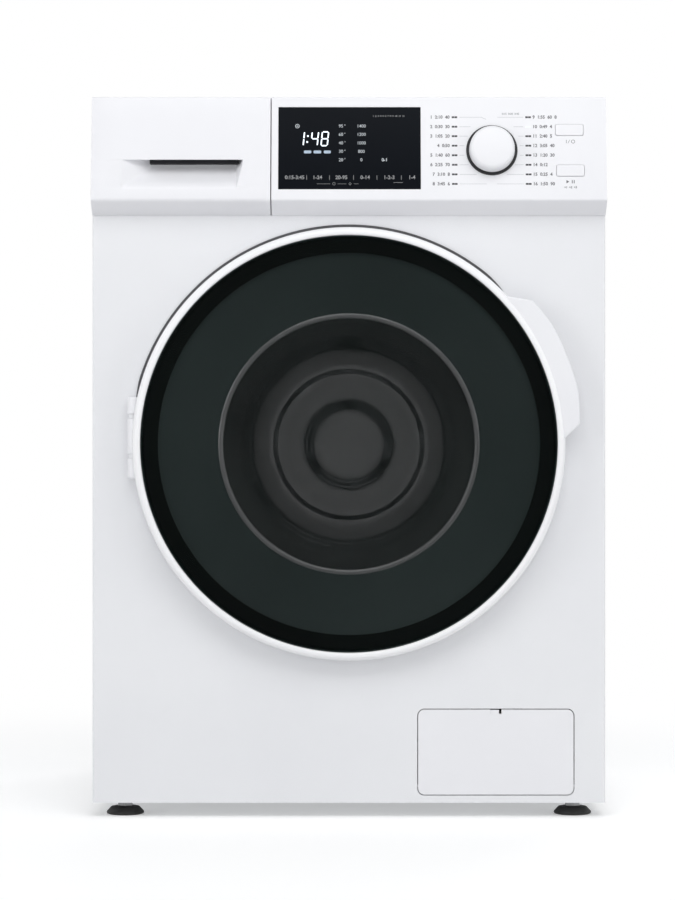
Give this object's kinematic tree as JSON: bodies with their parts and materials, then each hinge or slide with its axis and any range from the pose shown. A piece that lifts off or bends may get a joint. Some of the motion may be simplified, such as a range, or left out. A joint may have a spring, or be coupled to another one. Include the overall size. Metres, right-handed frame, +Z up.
{
  "type": "washer dryer",
  "caption": "Front-loading washer dryer with a round dark-glass door, detergent drawer, display, turning knob, sprung keys and a hanging tub with a belt-driven drum.",
  "frame": {"origin": "on the floor, below the middle of the machine's overall width and depth", "axes": "+X to the right as seen from the front, +Y to the back, so the door faces -Y, +Z up"},
  "size_m": [0.595, 0.61, 0.835],
  "materials": {
    "cabinet_white": "smooth white enamel paint",
    "white_plastic": "fine-grained white moulded plastic",
    "galvanised": "plain zinc-coated steel sheet",
    "black_plastic": "black moulded plastic",
    "steel": "turned steel",
    "laminate": "white laminated board",
    "fascia_white": "smooth white moulded plastic",
    "display_black": "polished black window",
    "circuit_board": "green laminate with black housings",
    "grey_plastic": "grey moulded plastic",
    "black_rubber": "black rubber",
    "cast_aluminium": "bare casting",
    "dark_glass": "dark tinted, polished",
    "frame_grey": "dark grey moulded plastic",
    "clear_glass": "clear pressed glass",
    "grey_rubber": "grey moulded rubber",
    "concrete": "cast concrete",
    "stainless": "brushed stainless steel"
  },
  "bodies": {
    "cabinet": {"side_panel_left": "cabinet_white", "side_panel_right": "cabinet_white", "front_panel": "cabinet_white", "base_tray": "galvanised", "levelling_feet": "black_plastic", "rear_frame": "galvanised", "rear_cover": "galvanised", "case_screws": "steel", "transit_bolt_caps": "white_plastic", "worktop": "laminate", "top_crossbar": "galvanised", "control_fascia": "fascia_white", "display_window": "display_black", "knob_surround": "black_plastic", "control_board": "circuit_board", "dispenser_housing": "white_plastic", "inlet_valve": "white_plastic", "drain_spigot": "grey_plastic", "water_hoses": "black_rubber", "cord_gland": "black_plastic", "drain_pump": "white_plastic", "hinge_bracket": "steel", "door_lock": "black_plastic", "door_gasket": "grey_rubber", "damper_cylinders": "black_plastic", "suspension_springs": "steel", "dispenser_hose": "black_rubber", "sump_hose": "black_rubber"},
    "door": {"door_ring": "fascia_white", "door_window": "dark_glass", "door_frame": "frame_grey", "door_bowl": "clear_glass", "hinge_arm": "cast_aluminium", "door_hook": "steel"},
    "drawer": {"drawer_front": "fascia_white", "drawer_grip": "black_plastic", "drawer_tray": "white_plastic", "siphon_cap": "grey_plastic"},
    "knob": {"program_knob": "fascia_white"},
    "power_key": {"power_button": "fascia_white"},
    "start_key": {"start_button": "fascia_white"},
    "flap": {"filter_flap": "white_plastic"},
    "filter": {"drain_filter": "grey_plastic"},
    "tub": {"tub_front": "white_plastic", "tub_rear": "white_plastic", "tub_bearings": "steel", "wash_heater": "steel", "counterweights": "concrete", "drive_motor": "cast_aluminium", "drive_belt": "black_rubber", "dryer_duct": "cast_aluminium", "damper_rods": "grey_plastic"},
    "drum": {"drum_shell": "stainless", "drum_front_plate": "stainless", "drum_back_plate": "stainless", "drum_lifters": "white_plastic", "drum_spider": "cast_aluminium", "drum_pulley": "cast_aluminium"},
    "motor_rotor": {"motor_pulley": "steel"},
    "fan": {"blower_wheel": "black_plastic"}
  },
  "joints": [
    {"name": "door_hinge", "type": "hinge", "parent": "cabinet", "child": "door", "pos_m": [-0.248, -0.2805, 0.44], "axis": [0, 0, -1], "range_deg": [0, 130]},
    {"name": "drawer_slide", "type": "slide", "parent": "cabinet", "child": "drawer", "axis": [0, -1, 0], "range_m": [0, 0.2]},
    {"name": "knob_turn", "type": "hinge", "parent": "cabinet", "child": "knob", "pos_m": [0.165, -0.28439, 0.7719], "axis": [0, -0.9867, 0.1624], "continuous": true},
    {"name": "power_press", "type": "slide", "parent": "cabinet", "child": "power_key", "axis": [0, 0.9867, -0.1624], "range_m": [0, 0.0015], "stiffness_N_per_m": 800, "springref_m": -0.001},
    {"name": "start_press", "type": "slide", "parent": "cabinet", "child": "start_key", "axis": [0, 0.9867, -0.1624], "range_m": [0, 0.0015], "stiffness_N_per_m": 800, "springref_m": -0.001},
    {"name": "flap_hinge", "type": "hinge", "parent": "cabinet", "child": "flap", "pos_m": [0.1704, -0.2668, 0.0364], "axis": [1, 0, 0], "range_deg": [0, 90]},
    {"name": "filter_turn", "type": "hinge", "parent": "cabinet", "child": "filter", "pos_m": [0.17, -0.25, 0.075], "axis": [0, -1, 0], "range_deg": [-180, 0]},
    {"name": "tub_bounce", "type": "slide", "parent": "cabinet", "child": "tub", "axis": [0, 0, 1], "range_m": [-0.008, 0.008], "stiffness_N_per_m": 40000, "springref_m": 0.00806, "deforming": ["suspension_springs", "door_gasket", "dispenser_hose", "sump_hose"]},
    {"name": "drum_spin", "type": "hinge", "parent": "tub", "child": "drum", "pos_m": [0, 0, 0.433], "axis": [0, 1, 0], "continuous": true},
    {"name": "motor_spin", "type": "hinge", "parent": "tub", "child": "motor_rotor", "pos_m": [0.07, 0.24, 0.112], "axis": [0, 1, 0], "continuous": true},
    {"name": "fan_spin", "type": "hinge", "parent": "tub", "child": "fan", "pos_m": [0.14, 0.11, 0.74], "axis": [0, 0, 1], "continuous": true}
  ],
  "couplings": [
    {"joint": "motor_spin", "follows": "drum_spin", "ratio": 13.8}
  ]
}
